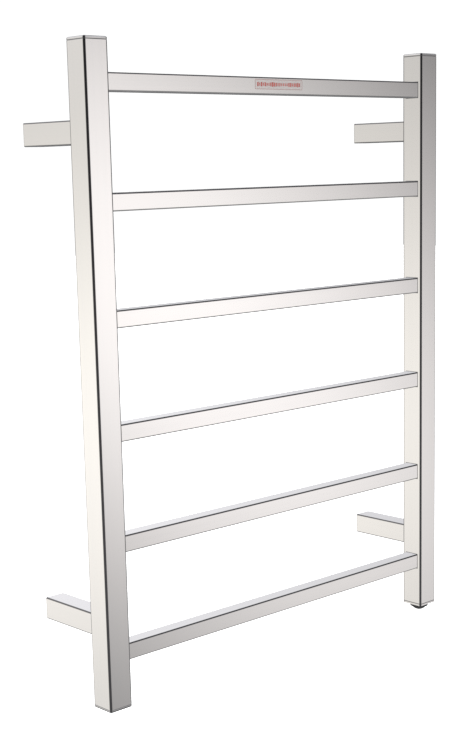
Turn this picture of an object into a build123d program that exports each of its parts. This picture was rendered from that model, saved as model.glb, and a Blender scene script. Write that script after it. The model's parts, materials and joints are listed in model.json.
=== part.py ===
"""Electric towel warmer rack for a wall: two square uprights, six square bars and four standoffs.

Millimetres, +Z up, +Y into the wall. The origin is on the wall, midway between the four wall screws.
"""

import os

from build123d import *

# Overall size
WIDTH = 550.0
HEIGHT = 710.0  # the uprights with their caps; the switch hangs below
WALL_GAP = 85.0  # clear space between the uprights and the wall

# Square tubes
UPRIGHT_SIDE = 30.0
UPRIGHT_WALL = 1.5
UPRIGHT_CORNER = 2.0
BAR_SIDE = 19.0
BAR_WALL = 1.2
BAR_CORNER = 1.5
STANDOFF_SIDE = 25.0
STANDOFF_WALL = 1.5
STANDOFF_CORNER = 1.5
INNER_CORNER = 0.5
JOINT_CHAMFER = 0.4  # on tube ends, so that each joint shows as a fine line

# Bars, from the uprights' lower end
BAR_COUNT = 6
BAR_PITCH = 121.0
LOWEST_BAR = 61.0
CABLE_HOLE_R = 7.0  # hole in an upright's wall behind each bar

# Standoffs, from the uprights' lower end
LOWER_STANDOFF = 94.0
UPPER_STANDOFF = 616.0

# Wall plugs
SLIP = 0.05  # clearance on each side of a piece that slides into a tube
PLUG_LENGTH = 28.0
PLUG_BASE = 6.0  # thickness of the plug's face against the wall
PLUG_CAVITY = 18.0
WALL_SCREW_HOLE_R = 2.2
CABLE_SLOT_WIDTH = 10.0
CABLE_SLOT_HEIGHT = 4.8
CABLE_SLOT_RISE = 6.5  # from the wall screw's axis up to the slot's middle
GROMMET_WALL = 0.7
GROMMET_LIP = 1.0

# Set screws
SET_SCREW_R = 2.0
SET_SCREW_LENGTH = 5.0
SET_SCREW_FROM_WALL = 20.0
SET_SCREW_PROUD = 0.4
SET_SCREW_CLEARANCE = 0.05
SET_SCREW_KEY = 2.0  # across the flats of its hexagon socket, and the socket's depth

# End caps and switch plate
CAP_THICKNESS = 3.0
CAP_SPIGOT = 8.0
CAP_SPIGOT_WALL = 1.6
CAP_EDGE_ROUND = 1.8
PLATE_THICKNESS = 3.0

# Push switch; heights are from the right upright's lower end
BEZEL_R = 11.8
BEZEL_HEIGHT = 4.0
BEZEL_ROUND = 0.8
BEZEL_RECESS = 3.0
NECK_R = 8.0
NECK_TOP = 9.0
BUTTON_TRAVEL = 2.0
DOME_R = 10.0
DOME_BELOW_BEZEL = 5.5
DOME_RIM = 0.9  # part of the dome's rim that sits inside the bezel
RUNNING = 0.06  # radial clearance of the moving button
STEM_R = 4.5
STEM_TOP = 8.0
PLUNGER_R = 2.0
SEAL_SECTION = 1.2
SEAL_HEIGHT = 2.6
SEAL_PROUD = 0.02
LOCKNUT_FLATS = 22.0
LOCKNUT_THICKNESS = 3.0
HOUSING_SIDE = 20.0
HOUSING_HEIGHT = 16.0
HOUSING_CORNER = 1.6
HOUSING_ROUND = 0.8
HOUSING_LEDGE = 0.5  # step that rests on the neck's end
HOUSING_ROOF_THICKNESS = 1.6
PIN_R = 1.0
PIN_OFFSET = 5.0  # each pin's distance from the switch's axis
PIN_ABOVE = 4.0
PIN_INSIDE = 3.0
BRIDGE_THICKNESS = 0.8
BRIDGE_WIDTH = 4.0
BRIDGE_GAP = 0.1  # left between the bridge and the pins with the button fully in
SPRING_R = 1.7
SPRING_WIRE = 0.5
SPRING_TURNS = 4
SPRING_SEAT = 0.01  # clearance at each end of the spring

# Heating cable; lanes are measured from the upright's axis
HEATER_R = 2.25
HEATER_BEND = 15.0
HEATER_LANE_X = 7.0
HEATER_LANE_Y = 3.5
RETURN_LANE_X = 2.5
CUTOUT_R = 4.0
CUTOUT_LENGTH = 22.0
CUTOUT_ROUND = 1.0
CUTOUT_HEIGHT = 93.0  # its lower end, from the upright's lower end
SPLICE_R = 3.0
SPLICE_LENGTH = 14.0
SPLICE_CHAMFER = 0.6
SPLICE_HEIGHT = 101.0

# Terminal block
POLE_PITCH = 5.0
POLE_X = -2.5  # the middle pole, from the upright's axis
BLOCK_WIDTH = 16.0
BLOCK_LENGTH = 20.0
BLOCK_HEIGHT = 14.0
BLOCK_ROUND = 1.0
BLOCK_FROM_WALL = 42.0
BLOCK_PORT = 8.0  # the leads' height above the block's foot
TERMINAL_SCREW_R = 1.5
TERMINAL_SCREW_LENGTH = 3.0
TERMINAL_SCREW_SUNK = 1.0
SCREW_SLOT = 0.5

# Leads; lanes are measured from the upright's axis
LEAD_R = 1.1
LEAD_BEND = 6.0
LEAD_SMALL_BEND = 4.5
LEAD_LANE_Y = 8.5
SWITCHED_LANE_X = -1.5
LEAD_DROP = 43.0  # from the upright's lower end, where the leads turn in to the pins
LEAD_TURN_IN = 9.0
LEAD_LOOP = 12.0

# Earth connection, inside the right upright
EARTH_Y = 6.0
EARTH_LEAD_X = -9.0
EARTH_LEAD_RISE = 5.0
EARTH_CROSSING = 14.0
EARTH_LUG_HEIGHT = 112.0
EARTH_LUG_LENGTH = 17.0
EARTH_TAG = 1.0
EARTH_RING_R = 4.5
EARTH_BARREL_R = 2.0
EARTH_BARREL_LENGTH = 8.0
EARTH_STUD_R = 2.0
EARTH_STUD_LENGTH = 7.5
EARTH_NUT_FLATS = 7.0
EARTH_NUT_THICKNESS = 3.2

# Label film on the top bar
LABEL_WIDTH = 75.0
LABEL_HEIGHT = 11.0
LABEL_CORNER = 1.0
LABEL_THICKNESS = 0.12
LABEL_SHIFT = 2.0
LABEL_RISE = 1.5

# Derived places
BOTTOM = -(LOWER_STANDOFF + UPPER_STANDOFF) / 2
TOP = BOTTOM + HEIGHT
UPRIGHT_X = (WIDTH - UPRIGHT_SIDE) / 2
UPRIGHT_Y = -WALL_GAP - UPRIGHT_SIDE / 2
UPRIGHT_INSIDE = UPRIGHT_SIDE - 2 * UPRIGHT_WALL
BAR_LENGTH = WIDTH - 2 * UPRIGHT_SIDE
STANDOFF_Z = {"lower": BOTTOM + LOWER_STANDOFF, "upper": BOTTOM + UPPER_STANDOFF}
STANDOFF_INSIDE = STANDOFF_SIDE - 2 * STANDOFF_WALL
PLUG_SIDE = STANDOFF_INSIDE - 2 * SLIP
SPIGOT_SIDE = UPRIGHT_INSIDE - 2 * SLIP
SIDES = {"left": -1, "right": 1}
HOUSING_FLOOR = PLATE_THICKNESS + LOCKNUT_THICKNESS
HOUSING_ROOF = HOUSING_FLOOR + HOUSING_HEIGHT
HOUSING_CEILING = HOUSING_ROOF - HOUSING_ROOF_THICKNESS
PIN_LOWER = HOUSING_CEILING - PIN_INSIDE
BRIDGE_TOP = PIN_LOWER - BUTTON_TRAVEL - BRIDGE_GAP
BRIDGE_LOWER = BRIDGE_TOP - BRIDGE_THICKNESS
SEAL_MEAN_R = STEM_R - SEAL_SECTION / 2 + SEAL_PROUD
PIN_TOP_Z = BOTTOM + HOUSING_ROOF + PIN_ABOVE
CUTOUT_LOW = BOTTOM + CUTOUT_HEIGHT
CUTOUT_X = UPRIGHT_X + HEATER_LANE_X
CUTOUT_Y = UPRIGHT_Y + HEATER_LANE_Y
SPLICE_LOW = BOTTOM + SPLICE_HEIGHT
RETURN_X = UPRIGHT_X + RETURN_LANE_X
RETURN_Y = UPRIGHT_Y - HEATER_LANE_Y
POLES = [UPRIGHT_X + POLE_X + step * POLE_PITCH for step in (-1, 0, 1)]
BLOCK_FRONT = -BLOCK_FROM_WALL - BLOCK_LENGTH
BLOCK_FOOT = STANDOFF_Z["lower"] - STANDOFF_INSIDE / 2
BLOCK_TOP = BLOCK_FOOT + BLOCK_HEIGHT
LEAD_Z = BLOCK_FOOT + BLOCK_PORT
LEAD_Y = UPRIGHT_Y + LEAD_LANE_Y
LEAD_DROP_Z = BOTTOM + LEAD_DROP
EARTH_LUG_Z = BOTTOM + EARTH_LUG_HEIGHT
EARTH_LEAD_END_X = UPRIGHT_X + EARTH_LEAD_X


def bar_z(number):
    """Height of a bar's axis; bar 1 is the top one."""
    return BOTTOM + LOWEST_BAR + (BAR_COUNT - number) * BAR_PITCH


def rounded_square(side, corner):
    """Outline of a square tube, in the XY plane."""
    return RectangleRounded(side, side, corner)


def square_tube(side, wall, corner, length):
    """Hollow square tube standing on the XY plane, its outer ends lightly chamfered."""
    outer = extrude(rounded_square(side, corner), length)
    ends = outer.faces().filter_by(Axis.Z).edges()
    outer = chamfer(ends, JOINT_CHAMFER)
    inner = extrude(rounded_square(side - 2 * wall, INNER_CORNER), length)
    return outer - inner


def bored(axis_point, direction, radius, length):
    """Round bar from axis_point along direction."""
    return extrude(Plane(origin=axis_point, z_dir=direction) * Circle(radius), length)


def hexagon_bar(axis_point, direction, flats, length):
    """Hexagonal bar from axis_point along direction."""
    outline = RegularPolygon(flats / 2, 6, major_radius=False)
    return extrude(Plane(origin=axis_point, z_dir=direction) * outline, length)


def block(low, high):
    """Box between two corners."""
    size = [b - a for a, b in zip(low, high)]
    middle = [(a + b) / 2 for a, b in zip(low, high)]
    return Pos(*middle) * Box(*size)


def wire_along(points, bends, radius):
    """Round cable along straight runs joined by tangent arcs."""
    path = Wire(FilletPolyline(*points, radius=bends).edges())
    start = Plane(origin=path @ 0, z_dir=path % 0)
    return sweep(start * Circle(radius), path=path)


def upright(side):
    """Left upright is short by a cap at both ends; the right one runs down to the lower end."""
    x = SIDES[side] * UPRIGHT_X
    low = BOTTOM + CAP_THICKNESS if side == "left" else BOTTOM
    length = TOP - CAP_THICKNESS - low
    tube = square_tube(UPRIGHT_SIDE, UPRIGHT_WALL, UPRIGHT_CORNER, length)
    tube = Pos(x, UPRIGHT_Y, low) * tube
    inward = -SIDES[side]
    for number in range(1, BAR_COUNT + 1):
        tube -= bored((x, UPRIGHT_Y, bar_z(number)), (inward, 0, 0), CABLE_HOLE_R, UPRIGHT_SIDE)
    if side == "right":
        half = STANDOFF_INSIDE / 2
        z = STANDOFF_Z["lower"]
        tube -= block((x - half, UPRIGHT_Y, z - half), (x + half, -WALL_GAP + UPRIGHT_WALL, z + half))
    return tube


def crossbar(number):
    tube = square_tube(BAR_SIDE, BAR_WALL, BAR_CORNER, BAR_LENGTH)
    return Plane(origin=(-BAR_LENGTH / 2, UPRIGHT_Y, bar_z(number)), z_dir=(1, 0, 0)) * tube


def end_cap(side, end):
    """Flat cap with a hollow spigot that slides into the upright."""
    plate = extrude(rounded_square(UPRIGHT_SIDE, UPRIGHT_CORNER), CAP_THICKNESS)
    plate = chamfer(plate.faces().sort_by(Axis.Z)[0].edges(), JOINT_CHAMFER)
    plate = fillet(plate.faces().sort_by(Axis.Z)[-1].edges(), CAP_EDGE_ROUND)
    spigot = extrude(rounded_square(SPIGOT_SIDE, INNER_CORNER), -CAP_SPIGOT)
    hollow_side = SPIGOT_SIDE - 2 * CAP_SPIGOT_WALL
    spigot -= extrude(rounded_square(hollow_side, INNER_CORNER), -CAP_SPIGOT)
    cap = plate + spigot
    if end == "top":
        return Pos(SIDES[side] * UPRIGHT_X, UPRIGHT_Y, TOP - CAP_THICKNESS) * cap
    flipped = Rot(180, 0, 0) * cap
    return Pos(SIDES[side] * UPRIGHT_X, UPRIGHT_Y, BOTTOM + CAP_THICKNESS) * flipped


def standoff(side, level):
    """Square tube between an upright's back face and the wall, with a set screw hole."""
    tube = square_tube(STANDOFF_SIDE, STANDOFF_WALL, STANDOFF_CORNER, WALL_GAP)
    centre = (SIDES[side] * UPRIGHT_X, 0, STANDOFF_Z[level])
    tube = Plane(origin=centre, z_dir=(0, -1, 0)) * tube
    return tube - set_screw_hole(side, level)


def set_screw_start(side, level):
    """Outer end and inward direction of a standoff's set screw: above on the upper pair, else below."""
    outward = 1 if level == "upper" else -1
    z = STANDOFF_Z[level] + outward * (STANDOFF_SIDE / 2 + SET_SCREW_PROUD)
    return (SIDES[side] * UPRIGHT_X, -SET_SCREW_FROM_WALL, z), (0, 0, -outward)


def set_screw_hole(side, level):
    start, inward = set_screw_start(side, level)
    return bored(start, inward, SET_SCREW_R + SET_SCREW_CLEARANCE, STANDOFF_SIDE / 2)


def set_screws():
    """One grub screw in each standoff, each with a hexagon socket."""
    screws = []
    for level in STANDOFF_Z:
        for side in SIDES:
            start, inward = set_screw_start(side, level)
            screw = bored(start, inward, SET_SCREW_R, SET_SCREW_LENGTH)
            screws.append(screw - hexagon_bar(start, inward, SET_SCREW_KEY, SET_SCREW_KEY))
    return screws


def wall_plug(side, level):
    """Cup that is screwed to the wall and that its standoff slides over."""
    x = SIDES[side] * UPRIGHT_X
    z = STANDOFF_Z[level]
    against_wall = Plane(origin=(x, 0, z), z_dir=(0, -1, 0))
    plug = extrude(against_wall * rounded_square(PLUG_SIDE, INNER_CORNER), PLUG_LENGTH)
    half = PLUG_CAVITY / 2
    plug -= block((x - half, -PLUG_LENGTH, z - half), (x + half, -PLUG_BASE, z + half))
    plug -= bored((x, 0, z), (0, -1, 0), WALL_SCREW_HOLE_R, PLUG_BASE)
    plug -= set_screw_hole(side, level)
    if (side, level) == ("right", "lower"):
        plug -= cable_slot(CABLE_SLOT_WIDTH, CABLE_SLOT_HEIGHT, 0, PLUG_BASE)
    return plug


def cable_slot(width, height, start, length):
    """Stadium-shaped bar through the lower right plug's face, from start along -Y."""
    middle = (UPRIGHT_X, -start, STANDOFF_Z["lower"] + CABLE_SLOT_RISE)
    face = Plane(origin=middle, z_dir=(0, -1, 0), x_dir=(1, 0, 0))
    return extrude(face * SlotOverall(width, height), length)


def cable_grommet():
    """Rubber lining of the cable slot, with a lip inside the plug."""
    lining = cable_slot(CABLE_SLOT_WIDTH, CABLE_SLOT_HEIGHT, 0, PLUG_BASE)
    lip = cable_slot(
        CABLE_SLOT_WIDTH + GROMMET_WALL, CABLE_SLOT_HEIGHT, PLUG_BASE, GROMMET_LIP
    )
    opening = cable_slot(
        CABLE_SLOT_WIDTH - 2 * GROMMET_WALL,
        CABLE_SLOT_HEIGHT - 2 * GROMMET_WALL,
        0,
        PLUG_BASE + GROMMET_LIP,
    )
    return lining + lip - opening


def switch_plate():
    """Plate flush with the right upright's lower end, with the switch's hole."""
    plate = extrude(rounded_square(SPIGOT_SIDE, INNER_CORNER), PLATE_THICKNESS)
    plate -= extrude(Circle(NECK_R), PLATE_THICKNESS)
    return Pos(UPRIGHT_X, UPRIGHT_Y, BOTTOM) * plate


def switch_place(height):
    """Location on the switch's axis, at a height above the upright's lower end."""
    return Pos(UPRIGHT_X, UPRIGHT_Y, BOTTOM + height)


def switch_bezel():
    """Ring under the upright with a threaded neck through the plate."""
    ring = extrude(Circle(BEZEL_R), -BEZEL_HEIGHT)
    ring = fillet(ring.faces().sort_by(Axis.Z)[0].edges(), BEZEL_ROUND)
    body = ring + extrude(Circle(NECK_R), NECK_TOP)
    body -= extrude(Circle(STEM_R + RUNNING), NECK_TOP, both=True)
    recess = Pos(0, 0, -BEZEL_HEIGHT) * extrude(Circle(DOME_R + RUNNING), BEZEL_RECESS)
    return switch_place(0) * (body - recess)


def switch_locknut():
    nut = extrude(RegularPolygon(LOCKNUT_FLATS / 2, 6, major_radius=False), LOCKNUT_THICKNESS)
    nut -= extrude(Circle(NECK_R), LOCKNUT_THICKNESS)
    return switch_place(PLATE_THICKNESS) * nut


def contact_pins():
    """Two pins through the housing's roof; their lower ends are the fixed contacts."""
    length = HOUSING_ROOF + PIN_ABOVE - PIN_LOWER
    pin = extrude(Circle(PIN_R), length)
    return [switch_place(PIN_LOWER) * Pos(dx, 0, 0) * pin for dx in (-PIN_OFFSET, PIN_OFFSET)]


def switch_housing():
    """Square box on the neck that holds the contacts and the spring."""
    box = extrude(rounded_square(HOUSING_SIDE, HOUSING_CORNER), HOUSING_HEIGHT)
    box = fillet(box.faces().sort_by(Axis.Z)[-1].edges(), HOUSING_ROUND)
    box = switch_place(HOUSING_FLOOR) * box
    box -= switch_place(HOUSING_FLOOR) * extrude(Circle(NECK_R), NECK_TOP - HOUSING_FLOOR)
    cavity = extrude(Circle(NECK_R - HOUSING_LEDGE), HOUSING_CEILING - NECK_TOP)
    box -= switch_place(NECK_TOP) * cavity
    for pin in contact_pins():
        box -= pin
    return box


def switch_button():
    """Domed cap on a stem, with a thin plunger up to the contact bridge."""
    rise = DOME_BELOW_BEZEL
    ball_r = (DOME_R**2 + rise**2) / (2 * rise)
    rim_z = -BEZEL_HEIGHT
    ball = Pos(0, 0, rim_z - rise + ball_r) * Sphere(ball_r)
    keep = Pos(0, 0, rim_z - rise) * extrude(Circle(ball_r), rise)
    button = ball & keep
    button += Pos(0, 0, rim_z) * extrude(Circle(DOME_R), DOME_RIM)
    button += Pos(0, 0, rim_z) * extrude(Circle(STEM_R), STEM_TOP - rim_z)
    button += Pos(0, 0, STEM_TOP) * extrude(Circle(PLUNGER_R), BRIDGE_LOWER - STEM_TOP)
    groove = extrude(Circle(STEM_R), SEAL_SECTION)
    groove -= extrude(Circle(SEAL_MEAN_R - SEAL_SECTION / 2), SEAL_SECTION)
    button -= Pos(0, 0, SEAL_HEIGHT - SEAL_SECTION / 2) * groove
    return switch_place(0) * button


def button_seal():
    return switch_place(SEAL_HEIGHT) * Torus(SEAL_MEAN_R, SEAL_SECTION / 2)


def contact_bridge():
    length = 2 * PIN_OFFSET + BRIDGE_WIDTH
    return switch_place(BRIDGE_LOWER + BRIDGE_THICKNESS / 2) * Box(length, BRIDGE_WIDTH, BRIDGE_THICKNESS)


def button_spring():
    """Coil between the contact bridge and the housing's ceiling."""
    seat = SPRING_WIRE / 2 + SPRING_SEAT
    low = BRIDGE_TOP + seat
    height = HOUSING_CEILING - seat - low
    path = Helix(height / SPRING_TURNS, height, SPRING_R)
    start = Plane(origin=path @ 0, z_dir=path % 0)
    coil = sweep(start * Circle(SPRING_WIRE / 2), path=Wire(path.edges()), is_frenet=True)
    return switch_place(low) * coil


def heating_cable():
    """One cable down from the cut-out, to and fro through bars 6 to 1, then down the right upright."""
    points = [(CUTOUT_X, CUTOUT_Y, CUTOUT_LOW)]
    side = 1
    for number in range(BAR_COUNT, 1, -1):
        points.append((side * CUTOUT_X, CUTOUT_Y, bar_z(number)))
        side = -side
        points.append((side * CUTOUT_X, CUTOUT_Y, bar_z(number)))
    points.append((side * CUTOUT_X, RETURN_Y, bar_z(1)))
    points.append((RETURN_X, RETURN_Y, bar_z(1)))
    points.append((RETURN_X, RETURN_Y, SPLICE_LOW + SPLICE_LENGTH))
    return wire_along(points, [HEATER_BEND] * (len(points) - 2), HEATER_R)


def thermal_cutout():
    """Sleeved cut-out at the heating cable's near end."""
    sleeve = extrude(Circle(CUTOUT_R), CUTOUT_LENGTH)
    sleeve = fillet(sleeve.edges(), CUTOUT_ROUND)
    return Pos(CUTOUT_X, CUTOUT_Y, CUTOUT_LOW) * sleeve


def cable_splice():
    """Crimp between the heating cable's far end and the neutral lead."""
    crimp = chamfer(extrude(Circle(SPLICE_R), SPLICE_LENGTH).edges(), SPLICE_CHAMFER)
    return Pos(RETURN_X, RETURN_Y, SPLICE_LOW) * crimp


def terminal_block():
    """Three-pole block on the lower right standoff's floor."""
    low = (POLES[1] - BLOCK_WIDTH / 2, BLOCK_FRONT, BLOCK_FOOT)
    high = (POLES[1] + BLOCK_WIDTH / 2, BLOCK_FRONT + BLOCK_LENGTH, BLOCK_TOP)
    body = fillet(block(low, high).edges().filter_by(Axis.Z), BLOCK_ROUND)
    for screw in terminal_screws():
        body -= screw
    for x, y in terminal_screw_places():
        body -= bored((x, y, BLOCK_TOP), (0, 0, -1), TERMINAL_SCREW_R, TERMINAL_SCREW_SUNK)
    return body


def terminal_screw_places():
    rows = (BLOCK_FRONT + BLOCK_LENGTH / 4, BLOCK_FRONT + BLOCK_LENGTH * 3 / 4)
    return [(x, y) for x in POLES for y in rows]


def terminal_screws():
    """Two slotted screws for each pole, sunk in the block's top."""
    top = BLOCK_TOP - TERMINAL_SCREW_SUNK
    screws = []
    for x, y in terminal_screw_places():
        screw = bored((x, y, top), (0, 0, -1), TERMINAL_SCREW_R, TERMINAL_SCREW_LENGTH)
        slot = Pos(x, y, top) * Box(2 * TERMINAL_SCREW_R, SCREW_SLOT, 2 * SCREW_SLOT)
        screws.append(screw - slot)
    return screws


def lead_live():
    """From the block along the standoff, then down to the switch's left pin."""
    x, y = POLES[0], LEAD_Y
    pin_x = UPRIGHT_X - PIN_OFFSET
    points = [
        (x, BLOCK_FRONT, LEAD_Z),
        (x, y, LEAD_Z),
        (x, y, LEAD_DROP_Z),
        (pin_x, UPRIGHT_Y, LEAD_DROP_Z - LEAD_TURN_IN),
        (pin_x, UPRIGHT_Y, PIN_TOP_Z),
    ]
    return wire_along(points, [LEAD_BEND, LEAD_SMALL_BEND, LEAD_SMALL_BEND], LEAD_R)


def lead_switched():
    """From the switch's right pin up past the standoff, over and down into the cut-out."""
    x, y = UPRIGHT_X + SWITCHED_LANE_X, LEAD_Y
    pin_x = UPRIGHT_X + PIN_OFFSET
    top = CUTOUT_LOW + CUTOUT_LENGTH + LEAD_LOOP
    points = [
        (pin_x, UPRIGHT_Y, PIN_TOP_Z),
        (pin_x, UPRIGHT_Y, LEAD_DROP_Z - LEAD_TURN_IN),
        (x, y, LEAD_DROP_Z),
        (x, y, top),
        (CUTOUT_X, CUTOUT_Y, top),
        (CUTOUT_X, CUTOUT_Y, CUTOUT_LOW + CUTOUT_LENGTH),
    ]
    return wire_along(points, [LEAD_SMALL_BEND] * 4, LEAD_R)


def lead_neutral():
    """From the splice down and back along the standoff to the block."""
    points = [(RETURN_X, RETURN_Y, SPLICE_LOW), (RETURN_X, RETURN_Y, LEAD_Z), (RETURN_X, BLOCK_FRONT, LEAD_Z)]
    return wire_along(points, [LEAD_BEND], LEAD_R)


def lead_earth():
    """From the block's middle pole, over the live lead and up into the earth lug."""
    x, lug_y = EARTH_LEAD_END_X, UPRIGHT_Y + EARTH_Y
    points = [
        (POLES[1], BLOCK_FRONT, LEAD_Z),
        (POLES[1], BLOCK_FRONT - LEAD_BEND, LEAD_Z),
        (x, BLOCK_FRONT - EARTH_CROSSING, LEAD_Z + EARTH_LEAD_RISE),
        (x, lug_y, LEAD_Z + EARTH_LEAD_RISE),
        (x, lug_y, EARTH_LUG_Z),
    ]
    return wire_along(points, [LEAD_SMALL_BEND, LEAD_SMALL_BEND, LEAD_BEND], LEAD_R)


def earth_axis():
    """Foot of the earth stud on the upright's inner wall."""
    return (UPRIGHT_X - UPRIGHT_INSIDE / 2, UPRIGHT_Y + EARTH_Y, EARTH_LUG_Z + EARTH_LUG_LENGTH)


def earth_stud():
    return bored(earth_axis(), (1, 0, 0), EARTH_STUD_R, EARTH_STUD_LENGTH)


def earth_lug():
    """Ring tag on the stud, with a crimped barrel round the lead's end."""
    x, y, z = earth_axis()
    width = EARTH_BARREL_R
    ring = bored((x, y, z), (1, 0, 0), EARTH_RING_R, EARTH_TAG)
    tail = block((x, y - width, EARTH_LUG_Z), (x + EARTH_TAG, y + width, z))
    barrel = bored((EARTH_LEAD_END_X, y, EARTH_LUG_Z), (0, 0, 1), EARTH_BARREL_R, EARTH_BARREL_LENGTH)
    web = block(
        (x, y - width / 2, EARTH_LUG_Z),
        (EARTH_LEAD_END_X, y + width / 2, EARTH_LUG_Z + EARTH_BARREL_LENGTH),
    )
    return ring + tail + barrel + web - earth_stud()


def earth_nut():
    x, y, z = earth_axis()
    return hexagon_bar((x + EARTH_TAG, y, z), (1, 0, 0), EARTH_NUT_FLATS, EARTH_NUT_THICKNESS) - earth_stud()


def label_film():
    """Thin clear film on the top bar's front face."""
    front = UPRIGHT_Y - BAR_SIDE / 2
    outline = RectangleRounded(LABEL_WIDTH, LABEL_HEIGHT, LABEL_CORNER)
    place = Plane(origin=(LABEL_SHIFT, front, bar_z(1) + LABEL_RISE), z_dir=(0, -1, 0), x_dir=(1, 0, 0))
    return extrude(place * outline, LABEL_THICKNESS)


def write(node, shape):
    """One STEP file for a node; a list is a group of separate solids."""
    solids = [s for piece in (shape if isinstance(shape, list) else [shape]) for s in piece.solids()]
    export_step(solids[0] if len(solids) == 1 else Compound(children=solids), f"parts/{node}.step")


def main():
    os.makedirs("parts", exist_ok=True)
    for side in SIDES:
        write(f"{side}_upright", upright(side))
        write(f"top_cap_{side}", end_cap(side, "top"))
        for level in STANDOFF_Z:
            write(f"standoff_{level}_{side}", standoff(side, level))
            write(f"wall_plug_{level}_{side}", wall_plug(side, level))
    write("bottom_cap_left", end_cap("left", "bottom"))
    for number in range(1, BAR_COUNT + 1):
        write(f"crossbar_{number}", crossbar(number))
    makers = (
        set_screws,
        cable_grommet,
        switch_plate,
        switch_bezel,
        switch_locknut,
        switch_housing,
        contact_pins,
        switch_button,
        button_seal,
        contact_bridge,
        button_spring,
        heating_cable,
        thermal_cutout,
        cable_splice,
        terminal_block,
        terminal_screws,
        lead_live,
        lead_switched,
        lead_neutral,
        lead_earth,
        earth_stud,
        earth_lug,
        earth_nut,
        label_film,
    )
    for maker in makers:
        write(maker.__name__, maker())


main()
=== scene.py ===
"""Looks of a wall-mounted towel warmer rack: polished steel tubes, joints, label, push switch and wiring."""
import bpy
import json
import math
from mathutils import Matrix, Vector


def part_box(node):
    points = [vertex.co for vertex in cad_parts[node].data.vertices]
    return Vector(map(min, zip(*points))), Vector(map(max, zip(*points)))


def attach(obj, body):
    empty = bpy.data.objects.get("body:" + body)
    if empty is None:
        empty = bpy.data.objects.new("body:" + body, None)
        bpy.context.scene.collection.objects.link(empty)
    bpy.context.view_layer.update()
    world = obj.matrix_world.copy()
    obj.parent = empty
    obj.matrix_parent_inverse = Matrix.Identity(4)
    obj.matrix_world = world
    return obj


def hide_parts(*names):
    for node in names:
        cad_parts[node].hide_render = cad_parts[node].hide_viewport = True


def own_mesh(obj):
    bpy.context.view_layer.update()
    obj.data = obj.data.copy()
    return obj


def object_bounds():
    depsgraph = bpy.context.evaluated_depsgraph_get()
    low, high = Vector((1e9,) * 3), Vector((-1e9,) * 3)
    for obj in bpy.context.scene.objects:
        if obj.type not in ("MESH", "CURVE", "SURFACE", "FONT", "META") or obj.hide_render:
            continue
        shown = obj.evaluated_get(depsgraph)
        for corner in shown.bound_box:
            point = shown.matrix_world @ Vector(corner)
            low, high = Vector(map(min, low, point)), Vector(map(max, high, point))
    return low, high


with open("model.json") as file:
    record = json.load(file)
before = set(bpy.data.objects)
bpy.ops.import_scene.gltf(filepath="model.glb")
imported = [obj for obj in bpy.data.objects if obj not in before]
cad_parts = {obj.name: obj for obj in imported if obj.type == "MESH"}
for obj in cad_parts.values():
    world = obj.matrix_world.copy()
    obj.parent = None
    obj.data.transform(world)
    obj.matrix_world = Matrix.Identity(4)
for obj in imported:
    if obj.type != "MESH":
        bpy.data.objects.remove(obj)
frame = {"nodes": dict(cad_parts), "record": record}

cad_low, cad_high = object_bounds()

MM = 0.001
RACK = "rack"
SIDES = (-1, 1)


# Places and sizes, from the frame

def middle(node):
    low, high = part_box(node)
    return (Vector(low) + Vector(high)) / 2


def size(node):
    low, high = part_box(node)
    return Vector(high) - Vector(low)


BARS = sorted(name for name in frame["nodes"] if name.startswith("crossbar"))
TUBE_X = middle("right_upright").x
TUBE_Y = middle("right_upright").y
TUBE_HALF = size("right_upright").x / 2
TUBE_CORNER = 2.0 * MM
BAR_HALF = size(BARS[0]).z / 2
BAR_CORNER = 1.5 * MM
BAR_END = size(BARS[0]).x / 2
BAR_PITCH = middle(BARS[0]).z - middle(BARS[1]).z
LOWEST_BAR_Z = middle(BARS[-1]).z
STANDOFF_Z = middle("standoff_upper_right").z
STANDOFF_HALF = size("standoff_upper_right").z / 2
STANDOFF_CORNER = 1.5 * MM
STANDOFF_END = middle("standoff_upper_right").y - size("standoff_upper_right").y / 2
CAP_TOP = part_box("top_cap_right")[1][2]
CAP_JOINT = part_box("left_upright")[1][2]
CAP_ROUND = 1.8 * MM

# Half widths of the dark fine lines painted as shade at the joints, and how far an edge's painted dark
# reflection line reaches onto the flat faces
TUBE_JOINT_SHADE = 0.8 * MM
TUBE_CAP_JOINT_SHADE = 0.9 * MM
CAP_JOINT_SHADE = 0.8 * MM
TUBE_END_SHADE = 0.5 * MM
WALL_SHADE = 1.3 * MM
UPRIGHT_REACH = 0.5 * MM
CAP_REACH = 0.6 * MM
SMALL_TUBE_REACH = 0.25 * MM
SKIN = 0.2 * MM  # depth below a face that still counts as that face


# Node maths

class Value:
    """A node's output socket that takes part in plain arithmetic."""

    def __init__(self, sheet, socket):
        self.sheet = sheet
        self.socket = socket

    def math(self, operation, *others):
        return self.sheet.math(operation, self, *others)

    def __add__(self, other):
        return self.math("ADD", other)

    def __mul__(self, other):
        return self.math("MULTIPLY", other)

    __radd__ = __add__
    __rmul__ = __mul__

    def __sub__(self, other):
        return self.math("SUBTRACT", other)

    def __rsub__(self, other):
        return self.sheet.math("SUBTRACT", other, self)

    def __truediv__(self, other):
        return self.math("DIVIDE", other)

    def __rtruediv__(self, other):
        return self.sheet.math("DIVIDE", other, self)

    def __pow__(self, other):
        return self.math("POWER", other)

    def __neg__(self):
        return self.math("MULTIPLY", -1.0)

    def __abs__(self):
        return self.math("ABSOLUTE")


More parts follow.
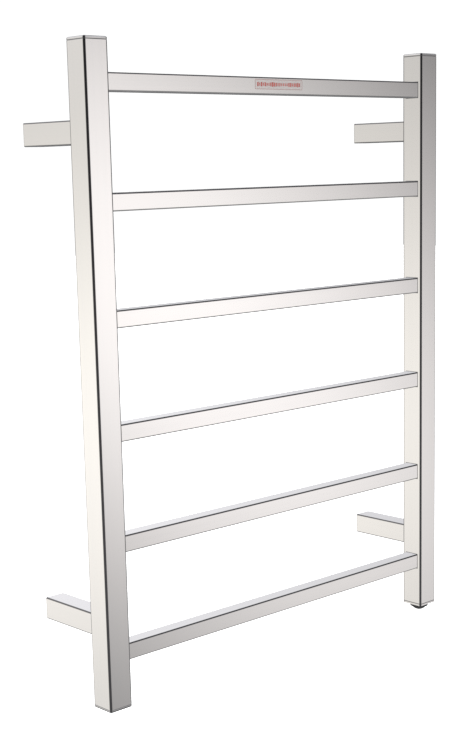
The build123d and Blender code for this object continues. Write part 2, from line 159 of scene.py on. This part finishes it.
class Sheet:
    """A node tree under construction."""

    def __init__(self, tree):
        self.tree = tree
        tree.nodes.clear()

    def node(self, kind, settings=None, inputs=None, output=0):
        """Adds a node: its settings first, then the values or links of its sockets."""
        made = self.tree.nodes.new(kind)
        for name, setting in (settings or {}).items():
            setattr(made, name, setting)
        for name, value in (inputs or {}).items():
            if isinstance(value, Value):
                self.tree.links.new(value.socket, made.inputs[name])
            else:
                made.inputs[name].default_value = value
        return Value(self, made.outputs[output]) if len(made.outputs) else None

    def math(self, operation, *values):
        return self.node("ShaderNodeMath", {"operation": operation}, dict(enumerate(values)))

    def split(self, vector):
        """The three coordinates of a vector."""
        first = self.node("ShaderNodeSeparateXYZ", None, {0: vector})
        return [Value(self, socket) for socket in first.socket.node.outputs]

    def mix(self, amount, start, end):
        """Colour from start to end."""
        inputs = {"Factor": amount, 6: start, 7: end}
        return self.node("ShaderNodeMix", {"data_type": "RGBA"}, inputs, 2)

    def noise(self, at, scale, detail=2.0, stretch=(1.0, 1.0, 1.0)):
        mapped = self.node("ShaderNodeMapping", None, {"Vector": at, "Scale": stretch})
        inputs = {"Vector": mapped, "Scale": scale, "Detail": detail}
        return self.node("ShaderNodeTexNoise", None, inputs)

    def bump(self, height, distance, strength=1.0):
        inputs = {"Height": height, "Distance": distance, "Strength": strength}
        return self.node("ShaderNodeBump", None, inputs)


def rgb(red, green, blue):
    return (red, green, blue, 1.0)


def finish(name, recipe, *details):
    """A material: the recipe returns the Principled shader's inputs."""
    material = bpy.data.materials.new(name)
    material.use_nodes = True
    sheet = Sheet(material.node_tree)
    at = sheet.node("ShaderNodeTexCoord", output="Object")
    shader = sheet.node("ShaderNodeBsdfPrincipled", None, recipe(sheet, at, *details))
    sheet.node("ShaderNodeOutputMaterial", None, {"Surface": shader})
    return material


# Polished steel

def past(value, flat, width):
    """0 up to the flat's end, rising to 1 over the width beyond it."""
    return ((value - flat) / width).math("MAXIMUM", 0.0).math("MINIMUM", 1.0)


def rounded_edge(first, second, half, corner, reach):
    """1 along a tube's rounded corners, fading to 0 on its faces at the reach beyond them; the mask of the
    painted dark reflection on the corners.
    """
    flat = half - corner - reach
    line = past(abs(first), flat, corner) * past(abs(second), flat, corner) * 2.0
    return line.math("MINIMUM", 1.0)


def strongest(first, *others):
    """The largest of several values."""
    for other in others:
        first = first.math("MAXIMUM", other)
    return first


def line_at(value, place, width):
    """1 where the value equals the place, fading to 0 over the width."""
    return (1.0 - abs(value - place) / width).math("MAXIMUM", 0.0)


def polished(sheet, at, along, lines):
    """Mirror-polished stainless steel: streaks along the tube, smudges, and dark fine lines that are painted
    dark reflections at the corners and painted shade at the joints.
    """
    fine = [900.0, 900.0, 900.0]  # noise cells per metre
    broad = [260.0, 260.0, 260.0]
    lengthwise = "XYZ".index(along)
    fine[lengthwise] = 8.0
    broad[lengthwise] = 1.6
    grain = sheet.noise(at, 1.0, 3.0, fine)
    streaks = sheet.noise(at, 1.0, 1.0, broad)
    smudges = sheet.noise(at, 11.0, 4.0)
    tint = sheet.noise(at, 3.3, 1.0)
    steel = sheet.mix(tint, rgb(0.845, 0.835, 0.815), rgb(0.855, 0.835, 0.83))
    steel = sheet.mix(streaks * 0.5 + smudges * 0.25, steel, rgb(0.80, 0.80, 0.795))
    return {
        # the lines darken the base colour: painted dark reflection at corners and painted shade at joints
        "Base Color": sheet.mix(lines, steel, rgb(0.045, 0.045, 0.05)),
        "Metallic": 1.0,
        "Roughness": 0.055 + streaks * 0.03 + smudges * 0.04 + lines * 0.1,
        "Normal": sheet.bump(grain * 0.1 + streaks, 0.004 * MM),
    }


def bar_heights(z):
    """Height from the nearest bar's axis."""
    return (z - LOWEST_BAR_Z).math("WRAP", BAR_PITCH / 2, -BAR_PITCH / 2)


def polished_upright(sheet, at):
    """Steel of an upright, with a painted dark reflection line at its corners and painted shade lines where
    bars, standoffs and caps meet it.
    """
    x, y, z = sheet.split(at)
    across = abs(x) - TUBE_X
    deep = y - TUBE_Y
    # painted dark reflection along the rounded corners
    edges = rounded_edge(across, deep, TUBE_HALF, TUBE_CORNER, UPRIGHT_REACH)
    # painted shade rings round the bars and standoffs, and at the cap joint
    bar_ring = strongest(abs(deep), abs(bar_heights(z)))
    at_bar = line_at(bar_ring, BAR_HALF, TUBE_JOINT_SHADE) * past(-across, TUBE_HALF - SKIN, SKIN / 2)
    standoff_ring = strongest(abs(across), abs(abs(z) - STANDOFF_Z))
    at_standoff = line_at(standoff_ring, STANDOFF_HALF, TUBE_JOINT_SHADE)
    at_standoff = at_standoff * past(deep, TUBE_HALF - SKIN, SKIN / 2)
    at_cap = line_at(abs(z), CAP_JOINT, TUBE_CAP_JOINT_SHADE)
    return polished(sheet, at, "Z", strongest(edges, at_bar, at_standoff, at_cap) * 0.95)


def polished_cap(sheet, at):
    """Steel of an end cap, with painted dark reflection lines at its corners and rims and a painted shade
    line at its joint.
    """
    x, y, z = sheet.split(at)
    across = abs(x) - TUBE_X
    deep = y - TUBE_Y
    # painted dark reflection along the corners and rims; painted shade at the joint with the tube
    corners = rounded_edge(across, deep, TUBE_HALF, TUBE_CORNER, CAP_REACH)
    side = strongest(abs(across), abs(deep))
    fade = 0.4 * MM
    rim = line_at(abs(z), CAP_TOP, 0.9 * MM) * past(side, TUBE_HALF - CAP_ROUND - 0.6 * MM, fade)
    lower_rim = past(-z, CAP_TOP - 2.1 * MM, fade) * past(side, TUBE_HALF - 1.0 * MM, fade / 2)
    joint = line_at(abs(z), CAP_JOINT, CAP_JOINT_SHADE)
    return polished(sheet, at, "X", strongest(corners, rim, lower_rim, joint) * 0.95)


def polished_bar(sheet, at):
    """Steel of a bar, with painted dark reflection lines along its edges, darker on the upper ones, and
    painted shade lines at its ends.
    """
    x, y, z = sheet.split(at)
    height = bar_heights(z)
    # painted dark reflection along the edges; the upper edges get the stronger line, as they face the dark
    # above
    edges = rounded_edge(y - TUBE_Y, height, BAR_HALF, BAR_CORNER, SMALL_TUBE_REACH)
    lower_edge = 0.6  # strength of the lower edges' line against the upper edges'
    edges = edges * (lower_edge + past(height, 0.0, BAR_HALF) * (1.0 - lower_edge))
    # painted shade where the bar meets the upright
    joint = line_at(abs(x), BAR_END, TUBE_END_SHADE)
    return polished(sheet, at, "X", strongest(edges, joint) * 0.95)


def polished_standoff(sheet, at):
    """Steel of a standoff, with painted dark reflection lines along its edges and painted shade lines at the
    upright and at the wall.
    """
    x, y, z = sheet.split(at)
    across = abs(x) - TUBE_X
    rise = abs(z) - STANDOFF_Z
    edges = rounded_edge(across, rise, STANDOFF_HALF, STANDOFF_CORNER, SMALL_TUBE_REACH)
    # painted shade where the standoff meets the upright and the wall
    joint = line_at(y, STANDOFF_END, TUBE_END_SHADE)
    wall = line_at(y, 0.0, WALL_SHADE)
    return polished(sheet, at, "Y", strongest(edges, strongest(joint, wall)) * 0.85)


# Other finishes

def bare_metal(sheet, at, colour, worn, roughness):
    """Plain or plated metal with rubbed patches."""
    patches = sheet.noise(at, 420.0, 4.0)
    marks = sheet.noise(at, 1600.0, 2.0)
    return {
        "Base Color": sheet.mix(patches, colour, worn),
        "Metallic": 1.0,
        "Roughness": roughness + patches * 0.16 + marks * 0.06,
        "Normal": sheet.bump(marks, 0.01 * MM),
    }


def moulded(sheet, at, colour, paler, roughness, grain=1400.0):
    """Moulded plastic, rubber or ceramic with a fine grain and faint mottling."""
    mottle = sheet.noise(at, 160.0, 3.0)
    pores = sheet.noise(at, grain, 3.0)
    return {
        "Base Color": sheet.mix(mottle, colour, paler),
        "Roughness": roughness + mottle * 0.12 + pores * 0.08,
        "Normal": sheet.bump(pores, 0.02 * MM),
    }


def striped_lead(sheet, at, colour, stripe):
    """Two-colour insulation, in slanting bands."""
    x, y, z = sheet.split(at)
    turns = 900.0  # radians of stripe per metre
    bands = ((x + y + z) * turns).math("SINE").math("GREATER_THAN", 0.2)
    inputs = moulded(sheet, at, colour, colour, 0.4)
    inputs["Base Color"] = sheet.mix(bands, colour, stripe)
    return inputs


def clear_film(sheet, at):
    """Thin frosted film with a reddish printed border."""
    x, y, z = sheet.split(at)
    middle_x, _, middle_z = middle("label_film")
    width, _, height = size("label_film")
    border = 0.9 * MM
    fade = 0.6 * MM
    ends = past(abs(x - middle_x), width / 2 - border, fade)
    rim = strongest(past(abs(z - middle_z), height / 2 - border, fade), ends)
    frost = sheet.noise(at, 700.0, 3.0)
    cloud = sheet.noise(at, 60.0, 2.0)
    film = sheet.mix(cloud, rgb(0.56, 0.50, 0.49), rgb(0.63, 0.57, 0.55))
    return {
        "Base Color": sheet.mix(rim, film, rgb(0.36, 0.19, 0.18)),
        "Roughness": 0.3 + frost * 0.2,
        "Alpha": 0.5 + rim * 0.3,
        "Normal": sheet.bump(frost, 0.01 * MM),
    }


FINISHES = {
    "polished_steel": finish("polished_cap", polished_cap),
    "zinc_plug": finish("zinc_plug", bare_metal, rgb(0.46, 0.47, 0.49), rgb(0.60, 0.60, 0.61), 0.32),
    "dark_steel": finish("dark_steel", bare_metal, rgb(0.03, 0.03, 0.032), rgb(0.10, 0.095, 0.09), 0.28),
    "spring_steel": finish("spring_steel", bare_metal, rgb(0.42, 0.41, 0.40), rgb(0.55, 0.54, 0.52), 0.22),
    "nickel_brass": finish("nickel_brass", bare_metal, rgb(0.70, 0.66, 0.56), rgb(0.78, 0.75, 0.68), 0.2),
    "black_gloss": finish("black_gloss", moulded, rgb(0.006, 0.006, 0.007), rgb(0.014, 0.014, 0.015), 0.08),
    "black_nylon": finish("black_nylon", moulded, rgb(0.012, 0.012, 0.013), rgb(0.025, 0.025, 0.026), 0.42),
    "black_rubber": finish("black_rubber", moulded, rgb(0.010, 0.010, 0.010), rgb(0.022, 0.021, 0.020), 0.62),
    "red_silicone": finish("red_silicone", moulded, rgb(0.42, 0.035, 0.02), rgb(0.52, 0.06, 0.035), 0.38),
    "white_sleeve": finish("white_sleeve", moulded, rgb(0.72, 0.71, 0.67), rgb(0.80, 0.79, 0.76), 0.55),
    "white_ceramic": finish("white_ceramic", moulded, rgb(0.78, 0.76, 0.71), rgb(0.84, 0.83, 0.80), 0.3),
    "brown_lead": finish("brown_lead", moulded, rgb(0.13, 0.05, 0.02), rgb(0.17, 0.07, 0.03), 0.36),
    "blue_lead": finish("blue_lead", moulded, rgb(0.02, 0.08, 0.34), rgb(0.03, 0.11, 0.42), 0.36),
    "green_lead": finish("green_lead", striped_lead, rgb(0.03, 0.22, 0.05), rgb(0.72, 0.60, 0.04)),
    "label_film": finish("label_film", clear_film),
}
TUBES = {
    "left_upright": finish("polished_upright", polished_upright),
    "crossbar": finish("polished_bar", polished_bar),
    "standoff": finish("polished_standoff", polished_standoff),
}
TUBES["right_upright"] = TUBES["left_upright"]


def finish_for(node, slot):
    """The material of a node: its own if it is a tube, else its slot's."""
    for start, material in TUBES.items():
        if node.startswith(start):
            return material
    return FINISHES[slot]


for row in frame["record"]["subparts"]:
    for material_slot in frame["nodes"][row["node"]].material_slots:
        material_slot.material = finish_for(row["node"], row["material_slot"])
    frame["nodes"][row["node"]].visible_glossy = False  # polished faces reflect the studio alone


# Pieces grown by geometry nodes

class Growth:
    """A geometry node tree with named size inputs, grown once into a plain mesh."""

    def __init__(self, name, sizes):
        self.name = name
        self.sizes = sizes
        self.tree = bpy.data.node_groups.new(name, "GeometryNodeTree")
        self.sheet = Sheet(self.tree)
        self.inputs = {}
        self.identifiers = {}
        for label, amount in sizes.items():
            kind = "NodeSocketInt" if isinstance(amount, int) else "NodeSocketFloat"
            socket = self.tree.interface.new_socket(label, in_out="INPUT", socket_type=kind)
            self.identifiers[label] = socket.identifier
        self.tree.interface.new_socket("Geometry", in_out="OUTPUT", socket_type="NodeSocketGeometry")
        group = self.tree.nodes.new("NodeGroupInput")
        for label in sizes:
            self.inputs[label] = Value(self.sheet, group.outputs[label])

    def __getitem__(self, label):
        return self.inputs[label]

    def grow(self, shape, material, slot, node=None):
        """Realizes the shape, gives it its material, and makes it a piece that rides on the rack."""
        solid = self.sheet.node("GeometryNodeRealizeInstances", None, {0: shape})
        smooth = self.sheet.node("GeometryNodeSetShadeSmooth", None, {0: solid})
        dressed = self.sheet.node("GeometryNodeSetMaterial", None, {0: smooth, "Material": material})
        self.sheet.node("NodeGroupOutput", None, {0: dressed})
        seed = bpy.data.objects.new(self.name + "_seed", bpy.data.meshes.new(self.name + "_seed"))
        bpy.context.scene.collection.objects.link(seed)
        modifier = seed.modifiers.new("grow", "NODES")
        modifier.node_group = self.tree
        for label, amount in self.sizes.items():
            modifier[self.identifiers[label]] = amount
        depsgraph = bpy.context.evaluated_depsgraph_get()
        mesh = bpy.data.meshes.new_from_object(seed.evaluated_get(depsgraph), depsgraph=depsgraph)
        bpy.data.objects.remove(seed)
        mesh.name = self.name
        piece = bpy.data.objects.new(self.name, mesh)
        bpy.context.scene.collection.objects.link(piece)
        piece.visible_glossy = False
        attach(piece, RACK)
        if node:
            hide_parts(node)
        return piece


def rounded_loop(sheet, side, corner):
    """Closed outline of a rounded square, in the XY plane."""
    square = sheet.node("GeometryNodeCurvePrimitiveQuadrilateral", None, {"Width": side, "Height": side})
    settings = {"mode": "POLY"}
    inputs = {0: square, "Count": 6, "Radius": corner, "Limit Radius": True}
    return sheet.node("GeometryNodeFilletCurve", settings, inputs)


def swept(sheet, path, profile, capped=False):
    """Profile carried along the path, with its ends closed if capped."""
    return sheet.node("GeometryNodeCurveToMesh", None, {0: path, 1: profile, "Fill Caps": capped})


def joint_lines():
    """Fine dark brazed bead round each bar's two ends, coloured dark as painted shade of the joint gap."""
    growth = Growth("joint_lines", {
        "Side": 2 * BAR_HALF,
        "Corner": BAR_CORNER,
        "Bead": 0.3 * MM,
        "End": BAR_END - 0.12 * MM,
        "Depth": TUBE_Y,
        "Lowest": LOWEST_BAR_Z,
        "Pitch": BAR_PITCH,
        "Bars": len(BARS),
    })
    sheet = growth.sheet
    loop = rounded_loop(sheet, growth["Side"], growth["Corner"])
    bead = sheet.node("GeometryNodeCurvePrimitiveCircle", None, {"Resolution": 8, "Radius": growth["Bead"]})
    ring = swept(sheet, loop, bead)
    rows = []
    for side in SIDES:
        start = sheet.node("ShaderNodeCombineXYZ", None,
                           {0: growth["End"] * side, 1: growth["Depth"], 2: growth["Lowest"]})
        step = sheet.node("ShaderNodeCombineXYZ", None, {2: growth["Pitch"]})
        rows.append(sheet.node("GeometryNodeMeshLine", None,
                               {"Count": growth["Bars"], "Start Location": start, "Offset": step}))
    places = sheet.node("GeometryNodeJoinGeometry")
    for row in rows:
        sheet.tree.links.new(row.socket, places.socket.node.inputs[0])
    rings = sheet.node("GeometryNodeInstanceOnPoints", None,
                       {"Points": places, "Instance": ring, "Rotation": (0.0, math.pi / 2, 0.0)})
    # the bead's near-black colour is painted shade of the joint gap
    material = finish("braze_painted_shade", bare_metal, rgb(0.05, 0.05, 0.052), rgb(0.10, 0.10, 0.10), 0.3)
    growth.grow(rings, material, "polished_steel")


def return_spring():
    """Coil between the contact bridge and the housing."""
    low, high = (Vector(corner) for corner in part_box("button_spring"))
    wire = 0.5 * MM
    growth = Growth("return_spring", {
        "Coil radius": (high.x - low.x - wire) / 2,
        "Wire radius": wire / 2,
        "Height": high.z - low.z - wire,
        "Turns": 4.0,
        "Axis X": (low.x + high.x) / 2,
        "Axis Y": (low.y + high.y) / 2,
        "Foot": low.z + wire / 2,
    })
    sheet = growth.sheet
    coil = sheet.node("GeometryNodeCurveSpiral", None, {
        "Resolution": 40,
        "Rotations": growth["Turns"],
        "Start Radius": growth["Coil radius"],
        "End Radius": growth["Coil radius"],
        "Height": growth["Height"],
    })
    wire_section = {"Resolution": 12, "Radius": growth["Wire radius"]}
    round_wire = sheet.node("GeometryNodeCurvePrimitiveCircle", None, wire_section)
    foot = {0: growth["Axis X"], 1: growth["Axis Y"], 2: growth["Foot"]}
    place = sheet.node("ShaderNodeCombineXYZ", None, foot)
    standing = {0: swept(sheet, coil, round_wire, True), "Translation": place}
    standing = sheet.node("GeometryNodeTransform", None, standing)
    spring = growth.grow(standing, FINISHES["spring_steel"], "spring_steel", "button_spring")
    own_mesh(spring)


def label_marks():
    """Row of short printed dashes on the label, of uneven lengths; they stand for its print."""
    low, high = (Vector(corner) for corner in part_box("label_film"))
    count = 24
    pitch = (high.x - low.x) * 0.92 / count
    growth = Growth("label_marks", {
        "Pitch": pitch,
        "Height": 5.0 * MM,
        "Ink": 0.06 * MM,
        "Shortest": pitch * 0.45,
        "Longest": pitch * 0.86,
        "Start": (low.x + high.x - pitch * (count - 1)) / 2,
        "Front": low.y,
        "Rise": (low.z + high.z) / 2,
        "Marks": count,
        "Seed": 4,
    })
    sheet = growth.sheet
    first = {0: growth["Start"], 1: growth["Front"], 2: growth["Rise"]}
    start = sheet.node("ShaderNodeCombineXYZ", None, first)
    step = sheet.node("ShaderNodeCombineXYZ", None, {0: growth["Pitch"]})
    places = sheet.node("GeometryNodeMeshLine", None,
                        {"Count": growth["Marks"], "Start Location": start, "Offset": step})
    stroke = sheet.node("GeometryNodeCurvePrimitiveLine", None,
                        {"Start": (-0.5, 0.0, 0.0), "End": (0.5, 0.0, 0.0)})
    section = sheet.node("GeometryNodeCurvePrimitiveQuadrilateral", None,
                         {"Width": growth["Ink"], "Height": growth["Height"]})
    length = sheet.node("FunctionNodeRandomValue", {"data_type": "FLOAT"},
                        {2: growth["Shortest"], 3: growth["Longest"], "Seed": growth["Seed"]}, 1)
    rise = sheet.node("FunctionNodeRandomValue", {"data_type": "FLOAT"},
                      {2: 0.62, 3: 1.0, "Seed": growth["Seed"]}, 1)
    stretch = sheet.node("ShaderNodeCombineXYZ", None, {0: length, 1: 1.0, 2: rise})
    marks = sheet.node("GeometryNodeInstanceOnPoints", None,
                       {"Points": places, "Instance": swept(sheet, stroke, section, True), "Scale": stretch})
    material = finish("red_print", moulded, rgb(0.40, 0.06, 0.05), rgb(0.50, 0.13, 0.11), 0.5)
    growth.grow(marks, material, "label_film")


joint_lines()
return_spring()
label_marks()


# Studio

def studio_light():
    """Surround of soft light for the polished faces: broad panels, with darkness between them."""
    world = bpy.data.worlds.new("studio")
    bpy.context.scene.world = world
    world.use_nodes = True
    sheet = Sheet(world.node_tree)
    x, y, z = sheet.split(sheet.node("ShaderNodeTexCoord", output="Generated"))
    degrees = 180.0 / math.pi
    height = z.math("ARCSINE") * degrees
    turn = x.math("ARCTAN2", y) * degrees

    def panel(centre, level, wide, tall, slant=0.0):
        """Soft patch of light: its azimuth from +Y towards +X, elevation and half sizes, in degrees."""
        across = turn - centre - (height - level) * slant
        across = across.math("WRAP", 180.0, -180.0) / wide
        up = (height - level) / tall
        return sheet.math("EXPONENT", -(across * across + up * up))

    skyline = 3.5
    blur = 1.3
    above = 1.0 / (1.0 + sheet.math("EXPONENT", (skyline - height) / blur))
    panels = (
        (panel(139.4, -5.5, 14.0, 17.0, 0.5), (1.17, 1.13, 1.12)),
        (panel(-40.0, -9.5, 30.0, 12.0), (0.62, 0.60, 0.565)),
        (panel(-40.0, 0.0, 30.0, 60.0), (0.49, 0.475, 0.45)),
        (panel(22.0, 14.0, 48.0, 24.0) * above, (1.0, 1.0, 1.04)),
        (panel(140.0, 44.0, 45.0, 16.0), (1.15, 1.15, 1.2)),
        (panel(-42.0, 44.0, 45.0, 15.0), (1.0, 1.0, 1.05)),
        (panel(224.0, 36.0, 36.0, 18.0), (0.7, 0.7, 0.73)),
        (panel(182.0, -15.0, 14.0, 13.0), (0.85, 0.84, 0.83)),
        (panel(228.0, -17.0, 26.0, 14.0), (0.85, 0.84, 0.83)),
        (panel(278.0, -15.0, 14.0, 13.0), (0.74, 0.73, 0.71)),
        (panel(30.0, -24.0, 40.0, 13.0), (0.75, 0.75, 0.76)),
        (panel(-4.0, -15.0, 20.0, 12.0), (0.4, 0.4, 0.4)),
        (panel(93.0, -14.0, 14.0, 14.0), (0.8, 0.8, 0.81)),
        (panel(0.0, 90.0, 2000.0, 20.0), (0.8, 0.8, 0.82)),
        (panel(0.0, -60.0, 2000.0, 28.0), (0.6, 0.6, 0.6)),
    )
    light = (0.06, 0.06, 0.063)  # between the panels
    for mask, colour in panels:
        lit = sheet.node("ShaderNodeVectorMath", {"operation": "SCALE"}, {0: colour, "Scale": mask})
        light = sheet.node("ShaderNodeVectorMath", {"operation": "ADD"}, {0: lit, 1: light})
    white = rgb(1.05, 1.05, 1.05)
    seen = sheet.node("ShaderNodeLightPath", output="Is Camera Ray")
    soft = Value(sheet, seen.socket.node.outputs["Is Diffuse Ray"])
    surround = sheet.mix(strongest(seen, soft), light, white)
    background = sheet.node("ShaderNodeBackground", None, {"Color": surround, "Strength": 1.0})
    sheet.node("ShaderNodeOutputWorld", None, {"Surface": background})


def camera():
    """Camera in front of the rack's left side, turned and tipped down towards it."""
    place = (-1.1687, -1.2826, 0.2262)
    turn_right = 42.68
    tip_down = 10.65
    lean = 1.34
    data = bpy.data.cameras.new("camera")
    data.lens = 68.7
    data.sensor_width = 36.0
    data.shift_y = 0.0774
    data.clip_end = 100.0
    stand = bpy.data.objects.new("camera", data)
    bpy.context.scene.collection.objects.link(stand)
    heading = Matrix.Rotation(math.radians(-turn_right), 4, "Z")
    tilt = Matrix.Rotation(math.radians(90 - tip_down), 4, "X")
    roll = Matrix.Rotation(math.radians(-lean), 4, "Z")
    stand.matrix_world = Matrix.Translation(place) @ heading @ tilt @ roll
    bpy.context.scene.camera = stand


def floor():
    """Plain pale floor, well below the rack."""
    reach = 40.0
    drop = 2.5
    level = cad_low[2] - drop
    corners = [(-reach, -reach, level), (reach, -reach, level), (reach, reach, level), (-reach, reach, level)]
    mesh = bpy.data.meshes.new("floor")
    mesh.from_pydata(corners, [], [(0, 1, 2, 3)])

    def pale(sheet, at):
        cloud = sheet.noise(at, 0.6, 2.0)
        return {
            "Base Color": sheet.mix(cloud, rgb(0.92, 0.92, 0.92), rgb(0.95, 0.95, 0.95)),
            "Roughness": 0.9,
            "Emission Color": rgb(1.0, 1.0, 1.0),
            "Emission Strength": 0.9,
        }

    mesh.materials.append(finish("pale_floor", pale))
    ground = bpy.data.objects.new("floor", mesh)
    bpy.context.scene.collection.objects.link(ground)
    ground.visible_glossy = False
    ground.visible_diffuse = False


studio_light()
camera()
floor()
bpy.context.scene.view_settings.view_transform = "Standard"
